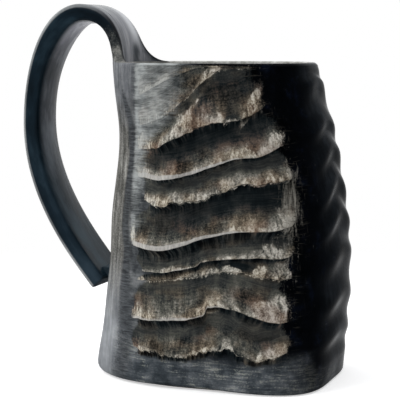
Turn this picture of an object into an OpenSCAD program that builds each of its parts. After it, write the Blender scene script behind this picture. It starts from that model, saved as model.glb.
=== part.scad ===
// Drinking horn mug: a broad length of horn standing on its wide end and closed below by a
// glued wooden plug. A tongue of the same horn rises from the rim, is bent over outwards and
// comes down to the wall again to make the handle.
// Sizes are in millimetres. Z is up and the foot stands on z = 0 with its centre at the origin.
// The handle points to -X and the broad ridged face looks to -Y.

/* [Body] */
// height of the rim above the table
body_height = 140; // [115:1:170]
// length of the foot, along the handle's plane
foot_length = 110; // [95:1:132]
// width of the foot, across the handle's plane
foot_width = 84; // [72:1:100]
// length of the mouth, along the handle's plane
rim_length = 91; // [76:1:110]
// width of the mouth, across the handle's plane
rim_width = 77; // [64:1:92]
// how far the mouth's centre leans towards the handle
rim_shift = 2; // [0:0.5:5]
// how far the wall under the handle is drawn in at half height
waist = 3.3; // [0:0.1:5]
// how far the wall away from the handle swells out at half height
belly = 8.4; // [0:0.1:10]
// wall thickness at the foot
foot_wall = 7; // [6:0.1:9]
// wall thickness at the rim
rim_wall = 3.5; // [2.5:0.1:5]
// wall thickness at the rim where the tongue rises from it
root_wall = 5.2; // [4.5:0.1:6.5]

/* [Growth ridges] */
// number of growth ridges up the wall
ridge_count = 8; // [4:1:10]
// how far a ridge's lower lip stands out
ridge_depth = 1.4; // [0:0.1:2]
// rise of each ridge from the handle side to the far side
ridge_rise = 12; // [0:1:16]

/* [Handle] */
// thickness of the tongue along the grip
strap_thick = 6.8; // [5:0.1:8]
// width of the tongue along the grip
strap_width = 21; // [16:0.5:30]
// width of the tongue where it leaves the rim
root_width = 38; // [32:0.5:46]
// clear finger room between the grip and the wall below the rim
finger_room = 38; // [28:1:48]
// height of the loop's top over the rim
loop_rise = 25; // [18:1:34]
// height of the tongue's cut end over the table
tip_height = 41; // [32:1:50]
// thickness of the resin between the tongue's end and the wall
bond_thick = 1; // [0.6:0.1:2]

/* [Base] */
// thickness of the wooden plug
plug_thick = 12; // [8:0.5:16]
// width of the resin joint around the plug
glue_gap = 0.8; // [0.4:0.1:1.2]
// width of the shoulder that the plug is pressed against
shoulder = 1.8; // [1.4:0.1:2.4]
// radius of the resin cove between the floor and the wall
cove = 5; // [3:0.5:8]
// thickness of the resin over the wood
floor_film = 1; // [0.6:0.1:2]

/* [Hidden] */
columns = 56;
handle_side_corner = 2.2;
foot_corner = 3.6;
rim_corner = 2.5;
foot_round = 3;
outline_angles = [for (i = [0 : columns - 1]) 360 * i / columns];

// outline of the horn, as a superellipse with its own reach and squareness at each end

function mix(low, high, t) = low + (high - low) * t;
function share(z) = z / body_height;
function clamp01(v) = min(1, max(0, v));
function reach_near(z) =
    mix(foot_length / 2, rim_length / 2 + rim_shift, share(z)) - waist * sin(180 * share(z));
function reach_far(z) =
    mix(foot_length / 2, rim_length / 2 - rim_shift, share(z)) + belly * sin(180 * share(z));
function half_width(z) = mix(foot_width, rim_width, pow(share(z), 2)) / 2;
function far_corner(z) = mix(foot_corner, rim_corner, share(z));
function wall(z) = mix(foot_wall, rim_wall, share(z));
function near_wall(z) = mix(foot_wall, root_wall, share(z));

function outline_radius(angle, near, far, half, corner) =
    let (
        reach = cos(angle) < 0 ? near : far,
        power = cos(angle) < 0 ? handle_side_corner : corner
    )
    pow(pow(abs(cos(angle)) / reach, power) + pow(abs(sin(angle)) / half, power), -1 / power);

function outer_radius(angle, z) =
    outline_radius(angle, reach_near(z), reach_far(z), half_width(z), far_corner(z));
function inner_radius(angle, z, inset) = outline_radius(
    angle,
    reach_near(z) - near_wall(z) - inset,
    reach_far(z) - wall(z) - inset,
    half_width(z) - wall(z) - inset,
    far_corner(z)
);
function at_angle(angle, radius, z) = [radius * cos(angle), radius * sin(angle), z];
function flat(ring) = [for (p = ring) [p.x, p.y]];

// distance of the handle-side wall from the Z axis at a given place across it
function near_face(y, z) =
    reach_near(z) * pow(1 - pow(abs(y) / half_width(z), handle_side_corner), 1 / handle_side_corner);

// growth ridges: each swells slowly downwards to a lip and then steps back in
// they are strong on both broad faces, faint on the far side and sanded away under the handle

ridge_pitch = (body_height - 2 * foot_round) / ridge_count;
// one ridge from its lip downwards, as shares of the pitch and of the depth
ridge_profile = [[0, 1], [0.12, 0], [0.55, 0.3]];
far_side_strength = 0.3;
function ridge_strength(angle) =
    let (sanded = clamp01(3 + 3.5 * cos(angle)))
    sanded * max(pow(abs(sin(angle)), 0.7), far_side_strength * cos(angle));
function ridge_ring(ridge, place) = [
    for (angle = outline_angles)
        let (
            level = foot_round + (ridge + 1 - place[0]) * ridge_pitch,
            end_fade = sin(180 * share(level)),
            z = level + ridge_rise / 2 * end_fade * cos(angle),
            out = ridge_depth * place[1] * ridge_strength(angle) * clamp01(2 * end_fade)
        )
        at_angle(angle, outer_radius(angle, z) + out, z)
];
function plain_ring(z, inset) =
    [for (angle = outline_angles) at_angle(angle, outer_radius(angle, z) - inset, z)];
function cavity_ring(z, inset = 0) =
    [for (angle = outline_angles) at_angle(angle, inner_radius(angle, z, inset), z)];
function seat_radius(angle, inset) =
    min([for (z = [0, plug_thick]) inner_radius(angle, z, inset - shoulder)]);
function seat_ring(z, inset = 0) =
    [for (angle = outline_angles) at_angle(angle, seat_radius(angle, inset), z)];

// skin between rings of equal length, closed by end caps or joined round from last to first
// each four-cornered patch is split along its shorter diagonal, so that skins that share rings match

function split_patch(p, a, b, c, d) =
    norm(p[a] - p[c]) < norm(p[b] - p[d]) ? [[a, b, c], [a, c, d]] : [[a, b, d], [b, c, d]];
function skin_faces(points, count, strips) = [
    for (r = [0 : strips - 1], i = [0 : count - 1])
        let (
            low = r * count,
            high = (low + count) % len(points),
            next = (i + 1) % count
        )
        each split_patch(points, low + i, high + i, high + next, low + next)
];
module skin(rings, closed = false) {
    count = len(rings[0]);
    points = [for (ring = rings) each ring];
    first = [for (i = [0 : count - 1]) i];
    last = [for (i = [1 : count]) len(points) - i];
    strips = closed ? len(rings) : len(rings) - 1;
    polyhedron(points, concat(skin_faces(points, count, strips), closed ? [] : [first, last]));
}

// path of the tongue's middle line in the XZ plane, as three curves end to end

crown_share = 0.41;
grip_share = 0.8;
tip_angle = 50;
tip_straight = 24;
root = [-reach_near(body_height) + root_wall / 2, body_height];
crown = root + [-crown_share * finger_room, loop_rise - root_wall / 2];
grip_height = grip_share * body_height;
grip = [-reach_near(grip_height) - finger_room - strap_thick / 2, grip_height];
tip_run = [cos(tip_angle), -sin(tip_angle)];
tip_edge = [-reach_near(tip_height) - bond_thick, tip_height];
tip = tip_edge + strap_thick / 2 * turned(tip_run);
rise_curve = [root, root + [0, 0.56 * loop_rise], crown + [0.26 * finger_room, 0], crown];
fall_curve = [crown, crown - [0.36 * finger_room, 0], [grip.x, mix(grip.y, crown.y, 0.56)], grip];
return_curve = [grip, [grip.x, mix(grip.y, tip.y, 0.42)], tip - tip_straight * tip_run, tip];
loop_curves = [rise_curve, fall_curve, return_curve];
curve_steps = 12;

function unit(v) = v / norm(v);
function turned(v) = [v.y, -v.x];
function bezier(c, t) =
    pow(1 - t, 3) * c[0] + 3 * pow(1 - t, 2) * t * c[1] + 3 * (1 - t) * t * t * c[2] + pow(t, 3) * c[3];
function bezier_run(c, t) =
    pow(1 - t, 2) * (c[1] - c[0]) + 2 * (1 - t) * t * (c[2] - c[1]) + t * t * (c[3] - c[2]);
function grip_face(t) =
    bezier(return_curve, t) - strap_thick / 2 * turned(unit(bezier_run(return_curve, t)));

// cross section of the tongue, a rounded bar that is bowed like the wall near the root
// s runs from 0 at the root to 1 at the tip

section_points = 16;
bar_squareness = 0.4;
bow_fade = 7;
taper = 4.5;
function signed_power(v, power) = sign(v) * pow(abs(v), power);
function strap_width_at(s) = mix(strap_width, root_width, pow(1 - s, taper));
function strap_thick_at(s) = mix(root_wall, strap_thick, clamp01((s - 0.25) / 0.3));
function root_bow(y) = near_face(0, body_height) - near_face(y, body_height);
function strap_ring(curve, t, s) =
    let (
        middle = bezier(curve, t),
        outward = turned(unit(bezier_run(curve, t)))
    )
    [
        for (k = [0 : section_points - 1])
            let (
                turn = 360 * k / section_points,
                y = strap_width_at(s) / 2 * signed_power(cos(turn), bar_squareness),
                depth = strap_thick_at(s) / 2 * signed_power(sin(turn), bar_squareness),
                bow = root_bow(y) * pow(1 - s, bow_fade),
                place = middle + (depth + bow) * outward
            )
            [place.x, y, place.y]
    ];

module horn_body() {
    outside = concat(
        [for (turn = [0, 45, 90]) plain_ring(foot_round * (1 - cos(turn)), foot_round * (1 - sin(turn)))],
        [for (ridge = [0 : ridge_count - 1], k = [2 : -1 : 0]) ridge_ring(ridge, ridge_profile[k])],
        [plain_ring(body_height, 0)]
    );
    inside = concat(
        [for (level = [1, 0.8, 0.6, 0.4, 0.2]) cavity_ring(mix(plug_thick + cove, body_height, level))],
        [cavity_ring(plug_thick + cove), cavity_ring(plug_thick), seat_ring(plug_thick), seat_ring(0)]
    );
    color("#57504a") skin(concat(outside, inside), closed = true);
}

module handle() {
    rings = [
        for (c = [0 : 2], k = [(c == 0 ? 0 : 1) : curve_steps])
            strap_ring(loop_curves[c], k / curve_steps, (c + k / curve_steps) / 3)
    ];
    color("#33383d") skin(rings);
}

module base_plug() {
    color("#a9794a") linear_extrude(plug_thick) polygon(flat(seat_ring(0, glue_gap)));
}

module glue_ring() {
    color("#c9a35a") linear_extrude(plug_thick) difference() {
        polygon(flat(seat_ring(0)));
        polygon(flat(seat_ring(0, glue_gap)));
    }
}

module base_seal() {
    arc = [for (turn = [15 : 15 : 90]) turn];
    rings = concat(
        [cavity_ring(plug_thick), cavity_ring(plug_thick + cove)],
        [for (turn = arc) cavity_ring(plug_thick + mix(cove, floor_film, sin(turn)), cove * (1 - cos(turn)))]
    );
    color("#d8b878") skin(rings);
}

// wedge of resin that fills the corner between the tongue's end and the wall
module handle_bond() {
    sink = 2;
    across = 6;
    half = 0.32 * strap_width;
    clear = 0.1;
    upper = grip_face(1 - 1 / curve_steps);
    rings = [
        for (k = [0 : across])
            let (y = mix(-half, half, k / across))
            [
                [tip_edge.x, y, tip_edge.y],
                [upper.x, y, upper.y],
                [-near_face(y, upper.y) - clear, y, upper.y],
                [-near_face(y, tip_height - sink) - clear, y, tip_height - sink]
            ]
    ];
    color("#d8b878") skin(rings);
}

horn_body();
handle();
base_plug();
glue_ring();
base_seal();
handle_bond();
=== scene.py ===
"""Looks of the drinking horn mug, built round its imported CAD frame.

The horn cup and the bent tongue that makes its handle are remade as fine meshes on the CAD outlines.
The wooden plug and the resin joints keep their CAD shapes and get materials.
Sizes are in millimetres until a mesh is made. Angles go round Z in degrees: 0 is the far side (+X),
-90 the broad face that the camera sees and 180 the handle side.
"""

import collections
import math

import bpy
import numpy as np
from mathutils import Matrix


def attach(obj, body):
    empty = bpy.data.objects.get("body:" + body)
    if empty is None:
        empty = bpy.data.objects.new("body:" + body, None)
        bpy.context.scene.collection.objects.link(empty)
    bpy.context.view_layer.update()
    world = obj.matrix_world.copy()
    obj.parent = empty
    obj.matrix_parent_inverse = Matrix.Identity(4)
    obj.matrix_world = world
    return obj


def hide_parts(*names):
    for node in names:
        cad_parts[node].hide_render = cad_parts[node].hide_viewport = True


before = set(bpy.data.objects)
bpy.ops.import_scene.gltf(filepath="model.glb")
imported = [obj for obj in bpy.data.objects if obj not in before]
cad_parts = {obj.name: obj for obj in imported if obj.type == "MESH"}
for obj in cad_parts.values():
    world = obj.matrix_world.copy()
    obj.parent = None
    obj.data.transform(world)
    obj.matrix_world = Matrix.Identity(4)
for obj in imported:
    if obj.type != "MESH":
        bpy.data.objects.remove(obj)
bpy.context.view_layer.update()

MM = 0.001

# sizes of the horn cup, as in the CAD model
HEIGHT = 140.0
FOOT_LENGTH = 110.0
FOOT_WIDTH = 84.0
RIM_LENGTH = 91.0
RIM_WIDTH = 77.0
RIM_SHIFT = 2.0
WAIST = 3.3
BELLY = 8.4
FOOT_WALL = 7.0
RIM_WALL = 3.5
ROOT_WALL = 5.2
HANDLE_SIDE_CORNER = 2.2
FOOT_CORNER = 3.6
RIM_CORNER = 2.5
PLUG_THICK = 12.0
SHOULDER = 1.8

# sizes of the tongue that makes the handle, as in the CAD model
STRAP_THICK = 6.8
STRAP_WIDTH = 21.0
FINGER_ROOM = 38.0
LOOP_RISE = 25.0
TIP_HEIGHT = 41.0
TIP_ANGLE = 50.0
TIP_STRAIGHT = 24.0
BOND_THICK = 1.0

# finer shape than the CAD model has
FOOT_ROUND = 1.6
RIM_ROUND = 1.2
FOOT_BAND = 9.0
FILLET = 10.0
GRIP_BULGE = 1.6
GRIP_SWELL = 1.0
COLUMNS = 416

# Growth ridges from the rim down. Stations go round from the far side (0) to the handle side (180).
# At the stations each ridge has the height of its lip, the breadth of the pale frayed band above the lip
# and how black the valley above that is. Then come how far the lip stands out, the share of the way down
# to it that is valley, how far the lip is frayed to fibres, the height of the dark undercut below the lip,
# which is partly painted shade under the overhang, how grey the smooth step under that is and how far the
# lip is polished, with a silvery painted highlight on it.
STATIONS = (0, 41, 51, 62, 72, 86, 105, 125)
Ridge = collections.namedtuple(
    "Ridge", "lip band shade depth valley fray undercut step silver", defaults=[0.0, 0.0]
)
RIDGES = (
    Ridge(
        lip=(139.5, 139.4, 139.3, 139.2, 139.1, 138.0, 133.0, 125.5),
        band=(0, 0, 0, 0, 0, 0, 1, 2),
        shade=(1, 0.7, 0.7, 0.6, 0.5, 0.4, 0.2, 0),
        depth=0.3, valley=0.3, fray=0.3, undercut=0.6,
    ),
    Ridge(
        lip=(138.7, 138.6, 138.5, 138.4, 138.0, 128.0, 117.0, 113.0),
        band=(0, 0, 0, 0, 1, 0.5, 2.0, 3),
        shade=(1, 0.7, 0.6, 0.5, 0.5, 0.5, 0.3, 0.2),
        depth=0.3, valley=0.3, fray=0.8, undercut=0.0, step=0.4,
    ),
    Ridge(
        lip=(134.0, 126.0, 119.0, 115.5, 115.5, 111.0, 105.0, 103.0),
        band=(0, 0, 0, 0.5, 3.5, 4.5, 5.5, 6),
        shade=(1, 0.9, 0.7, 0.6, 0.6, 0.5, 0.2, 0),
        depth=2.0, valley=0.42, fray=0.5, undercut=3.0, step=0.2,
    ),
    Ridge(
        lip=(117.0, 105.0, 101.5, 100.5, 98.0, 93.5, 90.0, 91.0),
        band=(0, 3.5, 3.5, 3, 2, 2, 3, 3),
        shade=(1, 1, 0.7, 0.9, 1, 1, 0.8, 0.1),
        depth=2.3, valley=0.5, fray=0.2, undercut=1.5, step=0.9, silver=0.8,
    ),
    Ridge(
        lip=(105.0, 91.0, 90.5, 89.0, 85.5, 81.0, 78.5, 83.0),
        band=(0, 3, 3.5, 3.5, 3, 2.7, 2.7, 2.7),
        shade=(1, 1, 0.7, 0.5, 0.5, 0.6, 0.5, 0.1),
        depth=2.0, valley=0.4, fray=1.0, undercut=3.0, step=0.3,
    ),
    Ridge(
        lip=(92.0, 71.0, 71.0, 70.5, 68.0, 64.5, 60.5, 61.0),
        band=(0, 4, 3.5, 2, 1.5, 1.5, 2, 2.5),
        shade=(1, 1, 1, 1, 1, 0.8, 0.6, 0.3),
        depth=2.5, valley=0.55, fray=0.1, undercut=4.5, step=0.8, silver=1.0,
    ),
    Ridge(
        lip=(77.5, 58.0, 59.0, 59.0, 57.0, 54.0, 51.0, 50.0),
        band=(0, 4, 3, 1.5, 1.2, 1.2, 1.2, 1.5),
        shade=(1, 0.8, 0.5, 0.4, 0.4, 0.4, 0.4, 0.4),
        depth=1.6, valley=0.5, fray=0.2, undercut=2.0, step=0.1, silver=0.35,
    ),
    Ridge(
        lip=(60.0, 49.5, 51.0, 53.0, 52.0, 49.5, 47.5, 46.0),
        band=(0, 5, 4, 2.5, 1.5, 1, 0.8, 1.5),
        shade=(1, 0.7, 0.5, 0.8, 0.8, 0.6, 0.4, 0.2),
        depth=0.5, valley=0.2, fray=0.9, undercut=0.6, step=0.8,
    ),
    Ridge(
        lip=(41.0, 31.0, 33.0, 36.0, 35.0, 31.5, 29.5, 29.0),
        band=(0, 7, 5, 2, 2, 2.5, 4, 5),
        shade=(1, 0.5, 0.3, 0.3, 0.35, 0.4, 0.35, 0.3),
        depth=2.3, valley=0.5, fray=0.4, undercut=3.0, step=0.8, silver=0.45,
    ),
    Ridge(
        lip=(24.0, 19.0, 14.5, 17.0, 19.5, 15.5, 15.0, 17.5),
        band=(0, 3, 2, 1.2, 1.2, 1, 1, 1.2),
        shade=(1, 0.8, 0.7, 0.5, 0.4, 0.4, 0.4, 0.3),
        depth=1.8, valley=0.5, fray=0.9, undercut=6.0,
    ),
)

# Marks on the face that the camera sees: place, half size round (degrees) and up (mm), whether the mark is
# pale (1) or black (-1), and how much it climbs per degree towards the handle.
Mark = collections.namedtuple("Mark", "away height reach rise pale climb", defaults=[0.0])
MARKS = (
    Mark(away=53, height=122, reach=6, rise=4.0, pale=1.0, climb=-1.3),
    Mark(away=62, height=122, reach=4, rise=9.0, pale=-0.5, climb=-1.3),
    Mark(away=78, height=128, reach=6, rise=4.0, pale=-0.6, climb=-1.1),
    Mark(away=75, height=137, reach=5, rise=2.5, pale=0.8, climb=-0.5),
    Mark(away=84, height=124, reach=9, rise=1.6, pale=0.45, climb=-1.0),
    Mark(away=43, height=109, reach=4, rise=5.0, pale=0.3),
    Mark(away=61, height=55, reach=8, rise=2.0, pale=-1.0),
    Mark(away=67, height=18, reach=5, rise=2.5, pale=-1.0),
    Mark(away=75, height=36, reach=5, rise=1.5, pale=0.8),
    Mark(away=45, height=35, reach=6, rise=4.0, pale=0.5),
    Mark(away=49, height=17, reach=8, rise=2.5, pale=0.5),
    Mark(away=42, height=57, reach=2, rise=4.5, pale=0.5),
    Mark(away=38, height=77, reach=2, rise=9.0, pale=0.25),
    Mark(away=126, height=66, reach=2, rise=4.0, pale=0.7),
)

# Breaks where a lip steps up: ridge counted from the top, angle, how far it dies away towards the far side
# and how high it steps.
Break = collections.namedtuple("Break", "ridge away reach lift")
BREAKS = (
    Break(ridge=8, away=76, reach=14, lift=3.0),
    Break(ridge=9, away=67, reach=5, lift=2.5),
    Break(ridge=4, away=98, reach=8, lift=1.5),
    Break(ridge=6, away=80, reach=12, lift=1.2),
    Break(ridge=2, away=84, reach=9, lift=1.5),
)

# Hollows carved into the handle side, as height, half height and depth. The last one is a swell.
HOLLOWS = ((106, 22, 3.2), (52, 16, 0.9), (4, 12, -1.0))


# plain number helpers

def mix(low, high, share):
    return low + (high - low) * share


def ease(low, high, value):
    """0 at low, 1 at high and smooth between. Low may be the larger of the two."""
    t = np.clip((value - low) / (high - low), 0, 1)
    return t * t * (3 - 2 * t)


def hump(value, centre, spread):
    return np.exp(-(((value - centre) / spread) ** 2))


def turn_noise(angle, z, cells, seed, pitch=1.0):
    """Smooth noise from -1 to 1, with `cells` swells in a turn and one in every `pitch` mm upwards."""
    tall = 97  # swells before the noise repeats upwards
    grid = np.random.default_rng(seed).uniform(-1, 1, (cells, tall))
    across = (angle % 360) / 360 * cells
    up = z / pitch
    left = np.floor(across).astype(int)
    low = np.floor(up).astype(int)

    def swell(on, over):
        return grid[(left + on) % cells, (low + over) % tall]

    share = ease(0, 1, across - left)
    bottom = mix(swell(0, 0), swell(1, 0), share)
    top = mix(swell(0, 1), swell(1, 1), share)
    return mix(bottom, top, ease(0, 1, up - low))


# outline of the horn, as a superellipse with its own reach and squareness at each end

def plain_near(z):
    """Reach of the handle side before it was carved."""
    share = z / HEIGHT
    return mix(FOOT_LENGTH / 2, RIM_LENGTH / 2 + RIM_SHIFT, share) - WAIST * np.sin(math.pi * share)


def reach_near(z):
    return plain_near(z) - sum(depth * hump(z, height, spread) for height, spread, depth in HOLLOWS)


def reach_far(z):
    share = z / HEIGHT
    return mix(FOOT_LENGTH / 2, RIM_LENGTH / 2 - RIM_SHIFT, share) + BELLY * np.sin(math.pi * share)


def half_width(z):
    return mix(FOOT_WIDTH, RIM_WIDTH, (z / HEIGHT) ** 2) / 2


def outline_radius(angle, near, far, half, corner):
    along = np.cos(np.radians(angle))
    across = np.sin(np.radians(angle))
    reach = np.where(along < 0, near, far)
    power = np.where(along < 0, HANDLE_SIDE_CORNER, corner)
    return ((np.abs(along) / reach) ** power + (np.abs(across) / half) ** power) ** (-1 / power)


def far_corner(z):
    return mix(FOOT_CORNER, RIM_CORNER, z / HEIGHT)


def foot_lobes(angle, z):
    """The foot swells at one far corner and is a little hollow along the broad faces."""
    corner = 1.6 * hump(angle, -36, 18)
    hollow = 2.0 * hump(np.abs(angle), 82, 28)
    return (corner - hollow) * hump(z, 0, 20)


def outer_radius(angle, z):
    plain = outline_radius(angle, reach_near(z), reach_far(z), half_width(z), far_corner(z))
    return plain + foot_lobes(angle, z)


def inner_radius(angle, z):
    share = z / HEIGHT
    wall = mix(FOOT_WALL, RIM_WALL, share)
    near_wall = mix(FOOT_WALL, ROOT_WALL, share)
    return outline_radius(
        angle, reach_near(z) - near_wall, reach_far(z) - wall, half_width(z) - wall, far_corner(z)
    )


def seat_radius(angle):
    return np.minimum(inner_radius(angle, 0.0), inner_radius(angle, PLUG_THICK)) + SHOULDER


def ring(angle, radius, z):
    turn = np.radians(angle)
    return np.stack([radius * np.cos(turn), radius * np.sin(turn), np.broadcast_to(z, angle.shape)], -1)


# growth ridges: rows of the mesh follow the lips, so that every lip is a clean edge

# shares of the way down at which rows lie: from one lip to the next, and from the rim to the first lip
LIP_SHARES = (
    0.02, 0.05, 0.08, 0.11, 0.15, 0.2, 0.27, 0.34, 0.42,
    0.5, 0.58, 0.66, 0.74, 0.81, 0.87, 0.92, 0.96, 1.0,
)
TOP_SHARES = (0.0, 0.12, 0.25, 0.4, 0.55, 0.7, 0.85, 1.0)


def far_edge(z):
    """Angle at which the ridged face ends and the polished far side begins."""
    return 38 + 14 * ease(100, 140, z) - 2 * hump(z, 88, 20) + 2 * hump(z, 20, 30)


def near_edge(z):
    """Angle at which the ridged face ends and the sanded handle side begins."""
    return 128 - 9 * hump(z, 83, 6) + 2 * hump(z, 64, 5) - 8 * hump(z, 50, 5)


def ridged(angle, z, far_soft, near_soft, lobe=0.0):
    """1 on the two broad ridged faces, 0 on the sanded handle side, the polished far side and the foot.

    `lobe` draws both ends in by some degrees, which gives each ridge a rounded end.
    """
    coarse = 1.5 * turn_noise(angle, z, cells=30, seed=5, pitch=7)
    fine = 1.2 * turn_noise(angle, z, cells=150, seed=6, pitch=2.5)
    away = np.abs(angle) + coarse + fine
    far = far_edge(z) + lobe
    near = near_edge(z) - 2 * lobe
    past_far = ease(far - far_soft, far + far_soft, away)
    before_near = ease(near, near - 2 * near_soft, away)
    return past_far * before_near * ease(8, 14, z)


def round_horn(angle, values):
    """Values at the stations, spread smoothly round the horn."""
    reach = 12
    window = np.hanning(2 * reach + 3)[1:-1]
    level = np.interp(np.abs(angle), STATIONS, values)
    wrapped = np.concatenate([level[-reach:], level, level[:reach]])
    return np.convolve(wrapped, window / window.sum(), "valid")


def lip_break(angle, edge):
    """Lift of a lip at a break: sharp on the handle side, dying away on the far side."""
    past = np.abs(angle) - edge.away
    return edge.lift * np.where(past < 0, hump(past, 0, edge.reach), hump(past, 0, 1.2))


def lip_heights(angle):
    """Height of every lip round the horn, ragged where the ridges are rough and different on the back."""
    lips = []
    back = ease(0, 60, angle) * ease(180, 150, angle)
    for number, ridge in enumerate(RIDGES):
        level = round_horn(angle, ridge.lip) + sum(lip_break(angle, b) for b in BREAKS if b.ridge == number)
        own_back = 2.5 * turn_noise(angle, number * 7.0, cells=9, seed=11) * back
        wander = 0.7 * turn_noise(angle, number * 5.0, cells=36, seed=14)
        fine = 0.6 * turn_noise(angle, number * 3.0, cells=180, seed=12)
        coarse = 0.5 * turn_noise(angle, number * 3.0, cells=64, seed=13)
        rough = ridged(angle, level, far_soft=3, near_soft=6) * min(1.0, ridge.depth)
        lips.append(level + own_back + (wander + ridge.fray * (fine + coarse)) * rough)
    return lips


def ordered(levels, gap):
    """Levels from the top down, each at least `gap` under the one above it."""
    placed = [levels[0]]
    for level in levels[1:]:
        placed.append(np.minimum(level, placed[-1] - gap))
    return np.array(placed)


def ridge_sizes(angle, ridge, number, lip):
    """Sizes of a ridge and how worn it is, with its painted shade and highlight, spread round the horn."""
    away = np.abs(angle)
    coarse = turn_noise(angle, 17.0 * number, cells=44, seed=17)
    fine = turn_noise(angle, 17.0 * number, cells=110, seed=18)
    ragged = np.clip(1 + (0.3 + ridge.fray) * (coarse + 0.5 * fine), 0.1, 1.6)
    band = round_horn(angle, ridge.band) * ragged
    keep = 1 - 0.85 * ease(96, 118, away) * ease(80, 92, lip)
    uneven = 1.2 + 0.5 * turn_noise(angle, 11.0 * number, cells=30, seed=15)
    return {
        "band": band,
        "keep": keep,
        "depth": ridge.depth * uneven * (0.4 + 0.6 * ease(0, 1.5, band)) * keep,
        "shade": round_horn(angle, ridge.shade),
        "silver": ridge.silver * ease(45, 75, away),
        "undercut": ridge.undercut,
        "fray": ridge.fray,
        "step": ridge.step,
        "valley": 0.8 * ridge.valley,
    }


class RidgeGrid:
    """Grid over the outside between rim and foot. Rows follow the lips downwards, columns go round."""

    def __init__(self, angle):
        lips = lip_heights(angle)
        self.place_rows(angle, lips)
        self.spread_ridges(angle, lips)
        self.shape_swells()

    def place_rows(self, angle, lips):
        """Heights of the rows, and how far each lies below the lip over it and above the lip under it."""
        rim = np.full_like(angle, HEIGHT - RIM_ROUND)
        foot = np.full_like(angle, FOOT_BAND)
        levels = ordered([rim] + lips + [foot], 0.25)
        shares = [TOP_SHARES] + [LIP_SHARES] * len(lips)
        self.upper = np.repeat(np.arange(len(shares)), [len(part) for part in shares])
        self.share = np.concatenate(shares)[:, None]
        self.spacing = levels[self.upper] - levels[self.upper + 1]
        self.z = mix(levels[self.upper], levels[self.upper + 1], self.share)
        self.below = self.share * self.spacing
        self.above = self.spacing - self.below
        self.angle = np.broadcast_to(angle, self.z.shape)

    def spread_ridges(self, angle, lips):
        """Sizes of the ridges from the top down, with nothing for the rim and for the foot."""
        ridges = [ridge_sizes(angle, RIDGES[n], n, lip) for n, lip in enumerate(lips)]
        nothing = np.zeros_like(angle)
        self.sizes = {}
        for key in ridges[0]:
            self.sizes[key] = np.array([nothing] + [ridge[key] + nothing for ridge in ridges] + [nothing])

    def shape_swells(self):
        """How far each row has swollen from the valley to its lip, and how round the ridges' ends are."""
        uneven = 0.1 * turn_noise(self.angle, self.z, cells=26, seed=16, pitch=30)
        valley = self.under("valley") + uneven
        off_middle = np.clip(np.abs(self.share - 0.7) / 0.45, 0, 1)
        self.lobe = 3.0 * (1 - np.sqrt(1 - off_middle**2))
        self.swell = ease(valley, 1, self.share)
        self.slope = ease(valley - 0.05, valley + 0.4, self.share)

    def over(self, key):
        """A size of the ridge whose lip is above each row."""
        return self.sizes[key][self.upper]

    def under(self, key):
        """A size of the ridge whose lip is below each row."""
        return self.sizes[key][self.upper + 1]

    def marks(self, sign):
        """Strength of the pale (1) or the black (-1) marks at each point."""
        strongest = np.zeros_like(self.z)
        for mark in MARKS:
            past = -self.angle - mark.away
            aside = (self.z - mark.height - mark.climb * past) / mark.rise
            strength = np.clip(1.7 * np.exp(-((past / mark.reach) ** 2) - aside**2), 0, 1)
            strongest = np.maximum(strongest, mark.pale * sign * strength)
        return strongest

    def relief(self):
        """How far the surface stands out from the plain outline."""
        rough = ridged(self.angle, self.z, far_soft=3, near_soft=9, lobe=0.6 * self.lobe)
        drop = 2.0 + 3.0 * (1 - self.over("fray")) * ease(6, 14, self.spacing)
        overhang = self.over("depth") * ease(drop, 0, self.below)
        lips = overhang + self.under("depth") * self.swell
        fine = turn_noise(self.angle, self.z, cells=170, seed=22, pitch=5.0)
        coarse = 0.6 * turn_noise(self.angle, self.z, cells=90, seed=23, pitch=3.0)
        fray = 0.2 * (fine + coarse) * (0.2 + 0.8 * self.swell) * (1 - 0.8 * self.under("silver"))
        wave = 0.82 * np.cos(2 * np.pi * self.share) * ease(34, 8, np.abs(self.angle))
        fade = ease(1, 9, HEIGHT - self.z) * ease(6, 16, self.z) * ease(0, 5, self.spacing)
        lump = 0.35 * turn_noise(self.angle, self.z, cells=14, seed=21, pitch=22)
        between_ends = ease(0, 30, self.z) * ease(0, 30, HEIGHT - self.z)
        return ((lips + fray) * rough + wave) * fade + lump * between_ends

    def points(self):
        return ring(self.angle, outer_radius(self.angle, self.z) + self.relief(), self.z)

    def wear_and_painted_light(self):
        """What the material needs to know of each point. Rise is 0 at a lip and 1 atop its pale band."""
        band = self.under("band")
        undercut = self.over("undercut")
        pale = self.marks(1)
        foot_side = (self.upper == len(RIDGES))[:, None] * ease(0, 6.0, self.below)
        near_end = (near_edge(self.z) - 2 * self.lobe - np.abs(self.angle)) / 3.0 + 3 * (1 - self.swell)
        rise = np.clip(np.minimum(self.above / np.maximum(band, 0.3), near_end), 0, 3)
        fade = ease(0, 5, self.spacing)
        silver_breadth = 1.2 + 1.9 * ease(55, 115, np.abs(self.angle))
        far_soft = 3 + 5 * ease(105, 125, self.z)
        rough = ridged(self.angle, self.z, far_soft, near_soft=3, lobe=self.lobe)
        tucked = np.clip(1.3 - self.below / np.maximum(undercut, 0.3), 0, 1)
        # undercut carries painted shade under the lips and silver a painted highlight; the rest is worn
        # horn and its colour
        return {
            "rise": mix(mix(3, rise, ease(0, 1.5, band)), -0.7, pale),
            "undercut": tucked * fade * self.over("keep"),
            "hang": np.clip(1 - self.below / 2.2, 0, 1) * (0.2 + 0.8 * self.over("fray")) * fade,
            "step": hump(self.below, undercut + 2.5, 2.5) * self.over("step") * fade,
            "silver": np.clip(1 - self.above / silver_breadth, 0, 1) * self.under("silver"),
            "rough": np.maximum(rough * (1 - foot_side), pale),
            "shade": np.maximum(self.under("shade") * (1 - self.slope), self.marks(-1)) * (1 - pale),
        }

    def lip_place(self):
        """Place on the ridges in metres: round the horn, above the next lip, and which ridge."""
        round_way = np.radians(self.angle) * outer_radius(self.angle, self.z)
        return np.stack([round_way, self.above, 30.0 * self.upper[:, None] + 0 * self.above], 2) * MM


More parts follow.
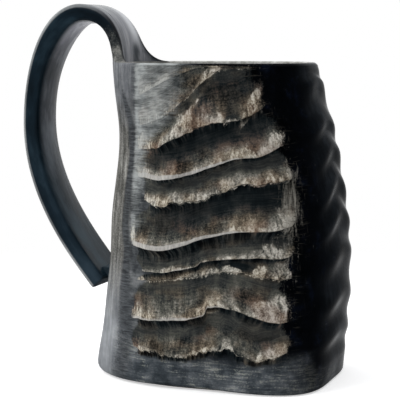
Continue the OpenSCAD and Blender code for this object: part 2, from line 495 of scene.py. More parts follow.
def zones(points):
    """Zones of the outside: the polished far side and its outermost part, the sanded handle side (near),
    the pale patch and the band of painted shade beside that, and the dusty edge beside the far side."""
    x, y, z = np.moveaxis(points, -1, 0)
    away = np.degrees(np.abs(np.arctan2(y, x)))
    low = ease(60, 25, z)
    far_foot = ease(52, 24, away) * (0.75 + 0.25 * ease(0, 14, z))
    pale_end = 127 - 27 * ease(75, 130, z) + 11 * hump(z, 104, 9)
    # angle of the band of painted shade where the sanded handle side turns into the ridged face
    painted_shade_stripe = 132 + 8 * ease(112, 135, z) + 2.5 * turn_noise(away, z, cells=8, seed=19, pitch=14)
    return {
        "far": ease(105, 80, away) * np.maximum(ease(8, 20, z), far_foot),
        # the outermost part also carries painted sheen on the far side
        "outermost": ease(30, 2, away),
        "near": ease(126 - 5 * low, 136 + 14 * low, away),
        "pale": ease(pale_end - 14, pale_end + 6, away) * ease(131, 125, away) * ease(52, 72, z),
        "painted_shade_stripe": hump(away, painted_shade_stripe, 4 + 6 * low) * (1 - 0.25 * low) * (1 - 0.6 * ease(118, 134, z)),
        "edge": hump(away, far_edge(z) + 1, 6) * (0.3 + 0.7 * hump(z, 80, 18)) * ease(14, 30, z),
    }


def rim_inset(angle):
    """How far the rim's edge is rounded: nothing where the tongue rises out of it."""
    y = np.abs(outer_radius(angle, HEIGHT) * np.sin(np.radians(angle)))
    half = strap_half_width(0.0, HEIGHT)
    past = np.clip((y - (half - RIM_ROUND)) / RIM_ROUND, 0, 1)
    inset = RIM_ROUND * (1 - np.sqrt(1 - past**2))
    return np.where(np.cos(np.radians(angle)) < 0, inset, RIM_ROUND)


# path and section of the tongue

def bezier(points, t):
    a, b, c, d = (np.array(p, float) for p in points)
    t = t[:, None]
    return (1 - t) ** 3 * a + 3 * (1 - t) ** 2 * t * b + 3 * (1 - t) * t**2 * c + t**3 * d


def strap_path():
    """Points of the tongue's middle line in X and Z, with the distance along it at each."""
    root = (-reach_near(HEIGHT) + ROOT_WALL / 2, HEIGHT)
    crown = (root[0] - 0.475 * FINGER_ROOM, HEIGHT + LOOP_RISE - ROOT_WALL / 2 + 0.4)
    grip_height = 0.8 * HEIGHT
    grip = (-plain_near(grip_height) - FINGER_ROOM - STRAP_THICK / 2, grip_height)
    tilt = math.radians(TIP_ANGLE)
    run = np.array([math.cos(tilt), -math.sin(tilt)])
    edge = np.array([-plain_near(TIP_HEIGHT) - BOND_THICK, TIP_HEIGHT])
    tip = edge + STRAP_THICK / 2 * np.array([run[1], -run[0]])
    before_tip = tip - TIP_STRAIGHT * run
    rise = (root, (root[0], root[1] + 0.68 * LOOP_RISE), (crown[0] + 0.27 * FINGER_ROOM, crown[1]), crown)
    fall = (crown, (crown[0] - 0.36 * FINGER_ROOM, crown[1]), (grip[0], mix(grip[1], crown[1], 0.58)), grip)
    back = (grip, (grip[0], mix(grip[1], tip[1], 0.42)), before_tip, tip)
    fine = np.linspace(0, 1, 400)
    track = np.concatenate([bezier(curve, fine) for curve in (rise, fall, back)])
    lengths = np.concatenate([[0], np.cumsum(np.hypot(*np.diff(track, axis=0).T))])
    return track, lengths


def strap_half_width(s, length):
    """Half the tongue's width at a distance along it: a fillet at the rim, a taper, broader to the tip."""
    into = np.clip((FILLET - s) / FILLET, 0, 1)
    fillet = FILLET * (1 - np.sqrt(1 - into**2))
    return STRAP_WIDTH / 2 + 6.5 * np.exp(-s / 16.0) + fillet + 2.0 * ease(0.45, 1.0, s / length)


def strap_thickness(s, length):
    share = s / length
    crown = 1.5 * hump(share, 0.26, 0.11)
    return mix(ROOT_WALL, STRAP_THICK, ease(0.05, 0.4, share)) + 1.2 * ease(0.2, 0.9, share) + crown


def section_pattern():
    """Points round a bar with rounded corners: shares of half width, corner, half thickness and corner."""
    corner = np.radians(np.arange(0, 91, 18))
    pattern = [(1, 1, f, 0) for f in np.linspace(-0.75, 0.75, 4)]
    pattern += [(1, math.cos(a), 1, math.sin(a)) for a in corner]
    pattern += [(f, 0, 1, 1) for f in np.linspace(0.85, -0.85, 12)]
    pattern += [(-1, -math.sin(a), 1, math.cos(a)) for a in corner]
    half_turn = np.array(pattern)
    return np.concatenate([half_turn, -half_turn])


# meshes

def new_object(name, data):
    made = bpy.data.objects.new(name, data)
    bpy.context.scene.collection.objects.link(made)
    return made


def skin_faces(rows, count, closed):
    """Quads over rings of equal length, as vertex numbers and as places on a flat map."""
    strips = rows if closed else rows - 1
    row, column = (grid.ravel() for grid in np.mgrid[0:strips, 0:count])
    corners = ((0, 0), (0, 1), (1, 1), (1, 0))
    faces = np.stack([(row + up) % rows * count + (column + on) % count for up, on in corners], 1)
    places = np.stack([np.stack([column + on, row + up], 1) for up, on in corners], 1)
    return faces, places


def make_mesh(name, rings, closed, attributes):
    """A closed skin over rings of equal length, joined round from last to first or capped at both ends."""
    rows, count = rings.shape[:2]
    quads, places = skin_faces(rows, count, closed)
    faces = quads.tolist()
    following = np.roll(rings, -1, axis=0) - rings
    steps = np.maximum(np.linalg.norm(following, axis=2).mean(1), 0.4)
    heights = np.concatenate([[0], np.cumsum(steps)])
    heights /= heights[-1] if closed else heights[rows - 1] / 0.9  # caps lie above the skin on the map
    flat = np.stack([places[..., 0] / count, heights[places[..., 1]]], 2).reshape(-1, 2)
    if not closed:
        faces.append(list(range(count - 1, -1, -1)))
        faces.append(list(range(rows * count - count, rows * count)))
        turn = np.linspace(0, 2 * math.pi, count, endpoint=False)
        disc = np.stack([np.cos(turn), np.sin(turn)], 1) * 0.04
        flat = np.concatenate([flat, disc[::-1] + (0.25, 0.95), disc + (0.75, 0.95)])
    mesh = bpy.data.meshes.new(name)
    mesh.from_pydata((rings.reshape(-1, 3) * MM).tolist(), [], faces)
    mesh.uv_layers.new(name="OFBake").data.foreach_set("uv", flat.ravel().astype(np.float32))
    mesh.shade_smooth()
    mesh.set_sharp_from_angle(angle=math.radians(60))
    for key, values in attributes.items():
        kind, field = ("FLOAT_VECTOR", "vector") if values.ndim == 3 else ("FLOAT", "value")
        layer = mesh.attributes.new(key, kind, "POINT")
        layer.data.foreach_set(field, values.ravel().astype(np.float32))
    return new_object(name, mesh)


def foot_lift(angle):
    """The sanded foot leaves the table a little along the broad faces."""
    return 0.9 * hump(np.abs(angle), 95, 40)


def foot_round(angle):
    """Radius of the foot's lower edge, larger on the handle side."""
    return FOOT_ROUND + 2.6 * ease(90, 150, np.abs(angle))


def rim_rings(angle):
    """Rings over the rounded rim, on the bore's side and on the outside."""
    inset = rim_inset(angle)
    broad = inset * (1 + 0.7 * hump(angle, 0, 45))

    def rounded(radius, breadth, turn):
        drop = inset * (1 - math.cos(turn))
        return ring(angle, radius + breadth * (1 - math.sin(turn)), HEIGHT - drop)

    inner = [rounded(inner_radius(angle, HEIGHT), inset, turn) for turn in np.radians((90, 60, 30, 0))]
    outer = [rounded(outer_radius(angle, HEIGHT), -broad, turn) for turn in np.radians((0, 30, 60))]
    return inner, outer


def foot_rings(angle):
    lift = foot_lift(angle)
    rounding = foot_round(angle)
    rings = []
    for turn in np.radians((0, 18, 36, 54, 72, 90)):
        z = lift + rounding * (1 - math.sin(turn))
        rings.append(ring(angle, outer_radius(angle, z) - rounding * (1 - math.cos(turn)), z))
    return rings


def bore_rings(angle):
    """Rings over the sanded foot, up the plug's seat and up the bore."""
    lift = foot_lift(angle)
    foot_radius = outer_radius(angle, lift) - foot_round(angle)
    seat = seat_radius(angle)
    rings = [
        ring(angle, mix(foot_radius, seat, 0.5), 0.5 * lift),
        ring(angle, seat, 0.0),
        ring(angle, seat, PLUG_THICK),
    ]
    for z in np.linspace(PLUG_THICK, HEIGHT - RIM_ROUND, 26)[:-1]:
        rings.append(ring(angle, inner_radius(angle, z), z))
    return rings


def horn_cup():
    angle = np.arange(COLUMNS) * 360.0 / COLUMNS - 180 + 180.0 / COLUMNS
    grid = RidgeGrid(angle)
    inner_rim, outer_rim = rim_rings(angle)
    foot = foot_rings(angle)
    bore = bore_rings(angle)
    points = np.concatenate([inner_rim, outer_rim, grid.points(), foot, bore])
    before = len(inner_rim) + len(outer_rim)
    after = len(foot) + len(bore)
    attributes = {key: np.pad(value, ((before, after), (0, 0))) for key, value in grid.wear_and_painted_light().items()}
    attributes["lip_place"] = np.pad(grid.lip_place(), ((before, after), (0, 0), (0, 0)))
    attributes.update(zones(points))
    inside = np.zeros(points.shape[:2])
    inside[-len(bore) :] = 1.0
    inside[: len(inner_rim)] = 1.0
    attributes["inside"] = inside
    attributes["grain"] = points * MM
    return make_mesh("horn_cup", points, True, attributes)


def strap_rows(total):
    """Distances along the tongue of its rings, which are closer in the fillet and at the cut end."""
    fillet = FILLET * (1 - np.cos(np.linspace(0, math.pi / 2, 22)))
    loop = np.linspace(FILLET, total - 1.0, 230)[1:]
    end = total - np.array([0.6, 0.25, 0.05, 0.0])
    return np.concatenate([fillet, loop, end])


def strap_frame(along, track, lengths):
    """The tongue's middle line in X and Z at distances along it, and the way that its bore side faces."""

    def line_at(distance):
        return np.stack([np.interp(distance, lengths, track[:, k]) for k in (0, 1)], 1)

    run = line_at(along + 0.4) - line_at(along - 0.4)
    run[0] = (0, 1)
    run /= np.linalg.norm(run, axis=1)[:, None]
    return line_at(along), np.stack([run[:, 1], -run[:, 0]], 1)


def strap_section(along, total):
    """Places of the rings' points across the tongue and towards its bore side, with its half width and
    thickness there."""
    end_round = np.clip(1.0 - (total - along), 0, 1)
    trim = 1.0 - np.sqrt(1 - end_round**2)
    half = (strap_half_width(along, total) - trim)[:, None]
    thick = (strap_thickness(along, total) - 2 * trim)[:, None]
    side, side_turn, depth, depth_turn = section_pattern().T
    settled = ease(4, 30, along)[:, None]
    corner = mix(RIM_ROUND, np.where(depth > 0, 2.0, 1.0), settled)
    broad = mix(RIM_ROUND, np.where(depth > 0, 2.8, 1.0), settled)
    y = side * (half - corner) + side_turn * corner
    d = depth * (thick / 2 - broad) + depth_turn * broad
    share_along = along[:, None] / total
    bulge = GRIP_BULGE * settled * ease(0.95, 0.7, share_along) * (1 - (y / half) ** 2)
    swell = GRIP_SWELL * hump(share_along, 0.28, 0.13)
    return y, d - (bulge + swell) * np.clip(-2 * d / thick, 0, 1), half, thick


def horn_handle():
    track, lengths = strap_path()
    total = lengths[-1]
    along = strap_rows(total)
    middle, outward = strap_frame(along, track, lengths)
    y, d, half, thick = strap_section(along, total)

    # the root has the curve of the wall that it rises from
    angles = np.linspace(110, 250, 600)
    on_wall = outer_radius(angles, HEIGHT) * np.sin(np.radians(angles))
    at = np.interp(-y, -on_wall, angles)
    share = d / thick + 0.5
    radius = mix(outer_radius(at, HEIGHT), inner_radius(at, HEIGHT), share)
    like_wall = ease(26, 0, along)[:, None]
    out = mix(d, radius * np.cos(np.radians(at)) - middle[0, 0], like_wall)
    across = mix(y, radius * np.sin(np.radians(at)), like_wall)
    x = middle[:, :1] + out * outward[:, :1]
    z = middle[:, 1:] + out * outward[:, 1:]

    level = np.broadcast_to(along[:, None], out.shape)
    straight = np.stack([middle[0, 0] + out, across, HEIGHT + level], 2)
    attributes = {
        "grain": straight * MM,
        "root": ease(26, 3, level),
        # bend and back_edge also place painted light near the root, wedge painted shade in its far fillet
        "bend": ease(34, 14, level),
        "down": level / total,
        "bore_side": np.broadcast_to(share, out.shape),
        "aside": np.abs(y) / half,
        "wedge": ease(13, 4, level) * hump(y, 7, 4),
        "back_edge": ease(4, 14, level) * ease(2, 9, y),
    }
    return make_mesh("horn_handle", np.stack([x, across, z], 2), False, attributes)


# materials

def colour(text):
    """A colour written as it looks, such as 8a8c8f, as linear light."""
    parts = [int(text[i : i + 2], 16) / 255 for i in (0, 2, 4)]
    return tuple(p / 12.92 if p < 0.04045 else ((p + 0.055) / 1.055) ** 2.4 for p in parts) + (1.0,)


class Nodes:
    """Short calls for the nodes of a material or a world."""

    def __init__(self, tree):
        self.tree = tree

    def feed(self, node, inputs):
        for key, value in inputs.items():
            if isinstance(value, bpy.types.NodeSocket):
                self.tree.links.new(value, node.inputs[key])
            else:
                node.inputs[key].default_value = value

    def node(self, kind, settings, inputs):
        made = self.tree.nodes.new("ShaderNode" + kind)
        for key, value in settings.items():
            setattr(made, key, value)
        self.feed(made, inputs)
        return made

    def attribute(self, name, output="Fac"):
        return self.node("Attribute", {"attribute_name": name}, {}).outputs[output]

    def own_place(self):
        return self.node("TexCoord", {}, {}).outputs["Object"]

    def vector(self, operation, inputs):
        return self.node("VectorMath", {"operation": operation}, inputs).outputs[0]

    def noise(self, vector, scale, detail=3.0, roughness=0.55, output="Fac"):
        """Noise whose scale is a count per metre along X, Y and Z."""
        scaled = self.vector("MULTIPLY", {0: vector, 1: scale})
        inputs = {"Vector": scaled, "Scale": 1.0, "Detail": detail, "Roughness": roughness}
        return self.node("TexNoise", {}, inputs).outputs[output]

    def warped(self, vector, scale, reach):
        """The vector pushed about by noise, up to half of reach each way."""
        push = self.noise(vector, (scale, scale, scale), 2, 0.5, "Color")
        centred = self.vector("SUBTRACT", {0: push, 1: (0.5, 0.5, 0.5)})
        return self.vector("ADD", {0: vector, 1: self.vector("SCALE", {0: centred, "Scale": reach})})

    def math(self, operation, first, second=0.0, clamp=False):
        settings = {"operation": operation, "use_clamp": clamp}
        return self.node("Math", settings, {0: first, 1: second}).outputs[0]

    def times(self, first, second, clamp=False):
        return self.math("MULTIPLY", first, second, clamp)

    def add(self, *terms, plus=0.0, **own):
        """Sum of a plain number, pairs of a value and its weight, and own values named with theirs."""
        total = plus
        pairs = list(terms) + [(getattr(self, name), weight) for name, weight in own.items()]
        for value, weight in pairs:
            total = self.math("ADD", total, self.times(value, weight))
        return total

    def span(self, value, low, high):
        """0 at low, 1 at high and smooth between."""
        inputs = {"Value": value, "From Min": low, "From Max": high}
        return self.node("MapRange", {"interpolation_type": "SMOOTHSTEP"}, inputs).outputs["Result"]

    def ramp(self, value, places, *colours):
        made = self.node("ValToRGB", {}, {"Fac": value})
        elements = made.color_ramp.elements
        while len(elements) < len(colours):
            elements.new(0.5)
        for element, place, shade in zip(elements, places, colours):
            element.position = place
            element.color = colour(shade)
        return made.outputs["Color"]

    def shades(self, value, *colours, spread=0.15):
        """Colours spread evenly over the values about a half."""
        return self.ramp(value, np.linspace(0.5 - spread, 0.5 + spread, len(colours)), *colours)

    def mix(self, factor, first, second):
        """Colour between two colours, by the sockets that the node keeps for colours."""
        return self.node("Mix", {"data_type": "RGBA"}, {0: factor, 6: first, 7: second}).outputs[2]

    def blend(self, factor, first, second):
        """Number between two numbers, by the sockets that the node keeps for numbers."""
        return self.node("Mix", {"data_type": "FLOAT"}, {0: factor, 2: first, 3: second}).outputs[0]


class Material(Nodes):
    def __init__(self, name):
        self.material = bpy.data.materials.new(name)
        self.material.use_nodes = True
        super().__init__(self.material.node_tree)
        self.surface = self.tree.nodes["Principled BSDF"]

    def finish(self, base, roughness, bumps, depth, mirror=0.5):
        """Joins colour, roughness, bumps of a depth in metres and mirror strength to the surface."""
        bump = self.node("Bump", {}, {"Height": bumps, "Distance": depth, "Strength": 1.0})
        self.feed(self.surface, {"Base Color": base, "Roughness": roughness})
        self.feed(self.surface, {"Specular IOR Level": mirror, "Normal": bump.outputs["Normal"]})
        return self.material


class Horn(Material):
    """A material with the noises that all surfaces of the horn share."""

    def __init__(self, name):
        super().__init__(name)
        self.grain = self.attribute("grain", "Vector")
        self.patch = self.noise(self.grain, (150, 150, 150), 4, 0.6)
        self.grit = self.noise(self.grain, (1300, 1300, 1300), 3, 0.7)
        self.streak = self.noise(self.grain, (380, 380, 40), 4, 0.65)
        self.scratch = self.noise(self.warped(self.grain, 60.0, 0.0015), (140, 140, 1300), 4, 0.7)

    def sanded(self):
        """Colour of the sanded handle side, which runs on into the tongue's root."""
        worked = self.add(scratch=0.1, streak=0.42, patch=0.18, grit=0.3)
        places = (0.38, 0.45, 0.51, 0.57, 0.65)
        return self.ramp(worked, places, "2b2b29", "4f4f4b", "6e6d69", "8e8d88", "b8b7b2")

    def cool(self):
        """Colour of the handle side close to the rim, which runs on into the back of the tongue's root."""
        return self.shades(self.add(streak=0.6, patch=0.4), "54575b", "707378", "8e9195", spread=0.14)


class CupHorn(Horn):
    """The cup's material, with noises along the ridges and the masks that several colours use."""

    def __init__(self):
        super().__init__("ridged_horn")
        lip_place = self.attribute("lip_place", "Vector")
        self.strokes = self.noise(self.warped(lip_place, 150.0, 0.0024), (1000, 200, 60), 5, 0.65)
        self.layers = self.noise(lip_place, (60, 1300, 60), 3, 0.6)
        self.comb = self.noise(self.warped(lip_place, 150.0, 0.0008), (800, 60, 60), 3, 0.6)
        self.blot = self.noise(self.grain, (55, 55, 80), 3)
        self.height = self.node("SeparateXYZ", {}, {"Vector": self.grain}).outputs["Z"]
        self.shade = self.attribute("shade")
        self.step = self.attribute("step")
        self.far = self.attribute("far")
        rise = self.attribute("rise")
        self.glow = self.times(self.span(rise, 2.6, 0.0), self.math("SUBTRACT", 1.0, self.shade))
        frayed = self.add(strokes=1.6, patch=2.0, blot=2.6, plus=-2.0)
        self.lip = self.span(self.math("SUBTRACT", frayed, rise), 0.0, 0.6)
        # dark band under each lip: ribbed horn darkened as painted shade under the overhang
        self.undercut = self.times(self.attribute("undercut"), self.add(patch=1.0, plus=0.45), True)
        # polished lips: lower roughness, and a silvery colour that is a painted highlight
        self.polish_and_painted_sheen = self.span(self.add((self.attribute("silver"), 1.0), patch=0.4), 0.45, 0.65)
        ragged = self.add((self.attribute("rough"), 1.0), grit=0.9, strokes=0.6, plus=-0.75)
        self.split = self.span(ragged, 0.2, 0.7)
        scraped = self.add((self.attribute("pale"), 1.0), scratch=0.9, patch=0.6, plus=-0.75)
        self.brushed = self.span(scraped, 0.15, 0.95)


def ridge_tone(m):
    """Lightness of the ridged faces: brown slopes, black valleys, grey steps, pale lips, and dark undercuts
    that are ribbed horn with painted shade under the lips.
    """
    slope = m.add(glow=0.22, grit=0.8, layers=0.3, patch=0.9, comb=0.5, plus=-0.9)
    valley = m.add(patch=0.2, layers=0.15, strokes=0.1, plus=-0.12)
    step = m.add(patch=0.3, layers=0.3, plus=-0.04)
    lip = m.add(strokes=1.8, grit=1.2, patch=0.8, plus=-1.25)
    undercut = m.add(comb=1.2, plus=-0.5)
    tone = m.blend(m.shade, slope, valley)
    tone = m.blend(m.times(m.step, 0.9), tone, step)
    tone = m.blend(m.lip, tone, lip)
    # painted shade under each lip, with ribs in it
    tone = m.blend(m.undercut, tone, undercut)
    hanging = m.add((m.attribute("hang"), 0.8), strokes=1.6, blot=1.0, plus=-1.72)
    return m.blend(m.span(hanging, 0.0, 0.35), tone, m.math("SUBTRACT", lip, 0.1))


def ridge_colour(m):
    """Ridged faces: cool and warm horn by turns, rusty in patches, polished on some lips
    whose silvery colour is a painted highlight.
    """
    tone = ridge_tone(m)
    places = (0.02, 0.12, 0.24, 0.38, 0.54, 0.72, 0.95)
    cool = ("080d10", "1a2022", "393b3a", "5a5a53", "86837a", "b4afa3", "e2ddd2")
    warm = ("0b0a09", "1d1b18", "39352f", "5e5549", "8a7e6d", "b9af9c", "e6dece")
    hue = m.span(m.noise(m.grain, (70, 70, 90), 3), 0.38, 0.6)
    brown = m.math("SUBTRACT", hue, m.math("MAXIMUM", m.step, m.shade), True)
    base = m.mix(brown, m.ramp(tone, places, *cool), m.ramp(tone, places, *warm))
    rust = m.times(m.span(m.noise(m.grain, (45, 45, 60), 3), 0.5, 0.65), m.span(tone, 0.15, 0.4))
    base = m.mix(m.times(rust, m.math("SUBTRACT", 0.3, m.step, True)), base, colour("7d5645"))
    # silvery lips: the lower roughness is real polished horn, the pale silvery colour a painted highlight
    return m.mix(m.polish_and_painted_sheen, base, m.shades(m.strokes, "aaa7a2", "d8d4cd"))


def handle_side_colour(m):
    """Sanded handle side: cool close to the rim, smooth and pale towards the foot."""
    level = m.add(height=1.0, patch=0.02)
    sanded = m.mix(m.times(m.span(level, 0.115, 0.14), 0.8), m.sanded(), m.cool())
    smoothed = m.shades(m.add(streak=0.4, blot=0.6), "66696d", "909396", "b7babd", spread=0.18)
    return m.mix(m.span(level, 0.07, 0.03), sanded, smoothed)


def slate_colour(m):
    """Dark horn between the other zones, and the flecked band round the foot, whose lighter, bluer tone
    is painted sheen.
    """
    cloud = m.add(scratch=0.2, patch=0.35, blot=0.35, grit=0.1)
    places = (0.36, 0.47, 0.54, 0.62)
    slate = m.ramp(cloud, places, "1d2023", "3b3e41", "585b5d", "7c7e7f")
    foot = m.ramp(cloud, places, "1d2327", "41474c", "5f6468", "8b8f93")
    flecks = m.span(m.add(scratch=0.6, grit=0.3, blot=0.5), 0.74, 0.84)
    foot = m.mix(m.times(flecks, 0.55), foot, colour("a9aa9e"))
    # lighter, bluer slate towards the foot is painted sheen; the pale flecks are real scuffs
    return m.mix(m.span(m.height, 0.03, 0.016), slate, foot)


def polished_colour(m):
    """Polished far side: black with navy patches of painted sheen, and dark slate at its outermost that is
    partly painted sheen.
    """
    # the navy at the top of this ramp is painted sheen
    black = m.ramp(m.patch, (0.3, 0.55, 0.75), "020304", "05070b", "0c121e")
    # dark slate that partly stands in for the sheen of reflections on the outermost far side
    slate = m.shades(m.add(blot=0.6, streak=0.4), "0b0e11", "181c20", "2b3035")
    return m.mix(m.attribute("outermost"), black, slate)


def smooth_colour(m):
    """All that was sanded or polished: slate, handle side, the band of painted shade beside it and the far
    side.
    """
    base = m.mix(m.attribute("near"), slate_colour(m), handle_side_colour(m))
    # painted shade darkening the turn from the handle side into the ridged face
    painted_shade_stripe = m.span(m.add((m.attribute("painted_shade_stripe"), 1.0), grit=0.8, plus=-0.4), 0.3, 0.8)
    base = m.mix(m.times(painted_shade_stripe, 0.9), base, m.shades(m.scratch, "2a2d30", "54575a", spread=0.12))
    return m.mix(m.far, base, polished_colour(m))


def worn_edges(m, base):
    """Dust and hairs along the ridged face's far edge, pale scratches beside the handle side."""
    edge = m.attribute("edge")
    upright = m.noise(m.warped(m.grain, 60.0, 0.002), (750, 750, 70), 4, 0.65)
    dust = m.span(m.add((edge, 0.8), (upright, 1.5), grit=0.7, patch=0.6, plus=-1.4), 0.35, 0.9)
    base = m.mix(m.times(dust, 0.8), base, m.shades(upright, "4b483f", "a39f95"))
    brush = m.add(scratch=0.3, layers=0.2, patch=0.3, blot=0.2, glow=0.06, undercut=-0.04)
    pale = m.ramp(brush, (0.36, 0.48, 0.58), "3f4242", "888c8b", "bcc0be")
    base = m.mix(m.times(m.brushed, 0.75), base, pale)
    bent = m.warped(m.grain, 60.0, 0.004)
    level_hairs = m.span(m.noise(bent, (130, 130, 1500), 3), 0.6, 0.68)
    upright_hairs = m.span(m.noise(bent, (1500, 1500, 60), 3), 0.62, 0.7)
    hairs = m.times(m.math("MAXIMUM", level_hairs, upright_hairs), edge)
    return m.mix(m.times(hairs, 1.2, True), base, colour("57534c"))


def bore_colour(m):
    """Brown bore that is rubbed pale close to the rim."""
    bore = m.shades(m.streak, "231f1b", "4a4239", "74695b", spread=0.2)
    rim = m.shades(m.add(streak=0.5, patch=0.5), "85857f", "c6c6c2", spread=0.12)
    rubbed = m.add(height=1.0, patch=0.003)
    return m.mix(m.span(rubbed, 0.1355, 0.1395), bore, rim)


def ridged_horn():
    m = CupHorn()
    base = worn_edges(m, m.mix(m.split, smooth_colour(m), ridge_colour(m)))
    base = m.mix(m.attribute("inside"), base, bore_colour(m))
    smooth = m.blend(m.far, m.add(scratch=0.3, plus=0.3), 0.15)
    coarse = m.blend(m.math("MAXIMUM", m.shade, m.step), 0.62, 0.3)
    roughness = m.blend(m.split, smooth, m.blend(m.polish_and_painted_sheen, coarse, 0.32))
    fuzz = m.add((m.times(m.strokes, m.lip), 0.5), grit=0.25)
    bumps = m.add((m.times(fuzz, m.split), 1.0), (m.times(m.scratch, m.brushed), 0.2))
    return m.finish(base, roughness, bumps, depth=0.0008, mirror=0.003)


class TongueHorn(Horn):
    """The tongue's material, with its own noises and the places that several of its colours use."""

    def __init__(self):
        super().__init__("tongue_horn")
        self.fine = self.noise(self.grain, (1500, 1500, 70), 3)
        self.mottle = self.noise(self.grain, (80, 80, 35), 4)
        self.cloud = self.add(streak=0.12, mottle=0.88)
        self.root = self.attribute("root")
        self.bend = self.attribute("bend")
        self.down = self.attribute("down")
        self.aside = self.attribute("aside")

    def clouded(self, *colours):
        return self.shades(self.cloud, *colours)


def grip_colour(m):
    """The loop's inner side and its two edges, which turn blue-black towards the tip,
    with the inner side pale up to just past the crown as a painted reflection.
    """
    low = m.span(m.down, 0.45, 0.95)
    inner = m.mix(low, m.clouded("393d41", "565a5f", "7d8288"), m.clouded("17252d", "263944", "3d535f"))
    # painted reflection: the inner side pale from the root to just past the crown
    inner = m.mix(m.span(m.down, 0.38, 0.22), inner, m.clouded("82838d", "adaeb6", "d6d7dd"))
    edge = m.mix(low, m.clouded("09131a", "14222b", "293a44"), m.clouded("0f1a21", "1b2831", "303e48"))
    return m.mix(m.span(m.aside, 0.5, 0.93), inner, edge)


def satin_colour(m):
    """The loop's outer side: satin grey, lighter near the root as painted light, with a painted highlight
    on its back edge and painted shade in the root's fillets and along the edges near the root.
    """
    rubbed = m.add(mottle=0.7, fine=0.3)
    satin = m.shades(rubbed, "5b5e60", "818485", "a3a6a6")
    # painted light: lighter satin near the root
    satin = m.mix(m.bend, satin, m.shades(rubbed, "64676c", "8f9196", "b9babd"))
    # painted highlight along the back edge near the root
    satin = m.mix(m.times(m.attribute("back_edge"), m.bend), satin, colour("dcdee1"))
    # painted shadow in the root's far fillet
    shadow = m.span(m.add((m.attribute("wedge"), 1.0), patch=0.6, plus=-0.3), 0.2, 1.0)
    satin = m.mix(m.times(shadow, 0.85), satin, colour("263036"))
    # painted shade in the fillets at the root's edges
    rounded = m.times(m.root, m.span(m.add(aside=1.0, patch=0.3), 0.85, 1.1))
    satin = m.mix(rounded, satin, colour("2b3036"))
    # painted shadow line along the edges near the root
    return m.mix(m.times(m.bend, m.span(m.aside, 0.86, 0.93)), satin, colour("15181c"))


def rooted(m, base, outside):
    """The root's outside: mottled along its edges, and like the cup's handle side at its foot."""
    side_edge = m.span(m.aside, 0.75, 0.95)
    mottled = m.shades(m.add(patch=0.6, grit=0.4), "15191b", "3c3f3f", "787873", spread=0.1)
    worn = m.span(m.add(root=1.0, patch=0.8, grit=0.4, plus=-0.6), 0.25, 0.9)
    worn = m.times(worn, m.add((side_edge, 0.7), plus=0.3))
    base = m.mix(m.times(outside, worn), base, mottled)
    lowest = m.math("POWER", m.root, 3.0)
    worked = m.span(m.add((lowest, 1.0), patch=0.6, plus=-0.3), 0.65, 0.95)
    worked = m.times(worked, m.add((side_edge, -0.55), plus=1.0))
    cup_like = m.mix(m.math("MAXIMUM", side_edge, 0.2), m.cool(), m.sanded())
    return m.mix(m.times(outside, worked), base, cup_like)


def tongue_horn():
    m = TongueHorn()
    bore_side = m.attribute("bore_side")
    base = m.mix(m.span(bore_side, 0.72, 0.82), grip_colour(m), satin_colour(m))
    base = rooted(m, base, m.span(bore_side, 0.95, 0.7))
    roughness = m.add(fine=0.06, mottle=0.2, plus=0.14)
    roughness = m.blend(m.root, roughness, m.add(scratch=0.3, plus=0.3))
    cut_end = m.span(m.down, 0.994, 0.999)
    base = m.mix(cut_end, base, m.clouded("1c2328", "333b41"))
    roughness = m.blend(cut_end, roughness, 0.8)
    bumps = m.add((m.times(m.scratch, m.root), 0.3), fine=0.08)
    return m.finish(base, roughness, bumps, depth=0.0002, mirror=0.04)


def plug_wood():
    m = Material("plug_wood")
    place = m.own_place()
    bands = m.noise(m.warped(place, 12.0, 0.03), (4, 160, 160), 3, 0.5)
    grain = m.noise(place, (30, 900, 200), 4)
    tone = m.add((bands, 0.9), (grain, 0.5), plus=-0.2)
    base = m.ramp(tone, (0.3, 0.5, 0.75), "6b4526", "936640", "bd9161")
    return m.finish(base, m.add((grain, 0.25), plus=0.45), grain, depth=0.0002)


def cast_resin(name, mirror, *colours):
    m = Material(name)
    place = m.own_place()
    cloud = m.noise(place, (70, 70, 70), 4)
    dust = m.noise(place, (900, 900, 900), 2)
    base = m.shades(m.add((cloud, 0.7), (dust, 0.3)), *colours, spread=0.2)
    return m.finish(base, m.add((dust, 0.2), plus=0.12), cloud, depth=0.0003, mirror=mirror)


# the two pieces of horn and the kept CAD nodes

cup = horn_cup()
cup.data.materials.append(ridged_horn())
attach(cup, "root")
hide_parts("horn_body")

handle = horn_handle()
handle.data.materials.append(tongue_horn())
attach(handle, "root")
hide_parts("handle")

wood = plug_wood()
amber = cast_resin("amber_resin", 0.3, "2a1c0e", "4a3318", "6d5028")
black = cast_resin("black_resin", 0.005, "26323a", "36434b", "495760")
finishes = {"base_plug": wood, "glue_ring": amber, "base_seal": amber, "handle_bond": black}
for node, finish in finishes.items():
    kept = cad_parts[node].data
    kept.materials.clear()
    kept.materials.append(finish)


# floor, light and camera

def seen_white(m):
    """1 for what the camera sees straight on, mirrored or through glass, 0 for stray light."""
    rays = m.node("LightPath", {}, {}).outputs
    indirect = m.math("MAXIMUM", rays["Is Glossy Ray"], rays["Is Transmission Ray"])
    return m.math("MAXIMUM", rays["Is Camera Ray"], indirect)


def studio():
    """White where it is seen, a dim even glow as light."""
    scene = bpy.context.scene
    scene.view_settings.view_transform = "Standard"
    scene.world = bpy.data.worlds.new("studio")
    scene.world.use_nodes = True
    m = Nodes(scene.world.node_tree)
    glow = m.mix(seen_white(m), (0.2, 0.205, 0.22, 1), (1, 1, 1, 1))
    m.feed(m.tree.nodes["Background"], {"Color": glow})


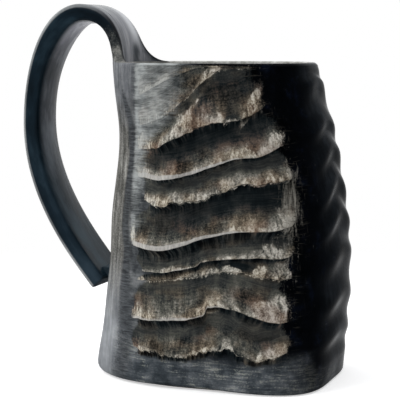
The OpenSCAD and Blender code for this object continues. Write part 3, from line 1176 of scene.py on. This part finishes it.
def floor():
    """White paper that fades into the white background."""
    m = Material("pale_floor")
    place = m.own_place()
    speck = m.noise(place, (40, 40, 40), 2)
    m.finish(m.shades(speck, "e2e2e2", "e8e8e8", spread=0.2), 0.9, speck, depth=0.0001)
    distance = m.node("VectorMath", {"operation": "LENGTH"}, {0: place}).outputs["Value"]
    glow = m.times(seen_white(m), 0.5)
    m.feed(m.surface, {"Emission Color": (1, 1, 1, 1), "Emission Strength": glow})
    m.feed(m.surface, {"Alpha": m.span(distance, 0.4, 0.15)})
    wide = 0.8
    corners = [(-wide, -wide, 0), (wide, -wide, 0), (wide, wide, 0), (-wide, wide, 0)]
    mesh = bpy.data.meshes.new("floor")
    mesh.from_pydata(corners, [], [(0, 1, 2, 3)])
    mesh.materials.append(m.material)
    plane = new_object("floor", mesh)
    gap_under_foot = 0.0002
    plane.location.z = -gap_under_foot


def lamp(name, place, size, power, aim=(0, 0, 0.08)):
    data = bpy.data.lights.new(name, "AREA")
    data.shape = "RECTANGLE"
    data.size, data.size_y = size
    data.energy = power
    made = new_object(name, data)
    made.location = place
    made.visible_camera = False
    way = np.array(aim) - np.array(place)
    level = math.hypot(way[0], way[1])
    made.rotation_euler = (math.atan2(level, -way[2]), 0, math.atan2(way[1], way[0]) - math.pi / 2)


def camera():
    azimuth = math.radians(20.0)
    distance = 650.0
    sideways = 7.8
    eye_height = 150.3
    focal_pixels = 1450.0
    horizon_row = 39.0
    frame_pixels = 400.0
    data = bpy.data.cameras.new("camera")
    data.sensor_width = 36.0
    data.lens = focal_pixels / frame_pixels * data.sensor_width
    data.clip_start = 0.01
    made = new_object("camera", data)
    right = np.array([math.cos(azimuth), math.sin(azimuth)])
    back = np.array([math.sin(azimuth), -math.cos(azimuth)])
    made.location = (*((distance * back - sideways * right) * MM), eye_height * MM)
    pitch = math.atan((frame_pixels / 2 - horizon_row) / focal_pixels)
    made.rotation_euler = (math.pi / 2 - pitch, 0, azimuth)
    bpy.context.scene.camera = made


studio()
floor()
lamp("key", (-0.8, -0.8, 1.1), (0.8, 0.8), 12.0)
lamp("top", (0.0, 0.1, 1.4), (1.2, 1.0), 9.0)
lamp("left", (-1.2, 0.2, 0.4), (1.2, 1.1), 9.0)
lamp("right", (0.9, 0.4, 1.3), (0.7, 0.7), 6.0, aim=(0, 0, 0.12))
lamp("behind", (0.4, 1.35, 0.5), (0.4, 0.9), 0.6)
camera()
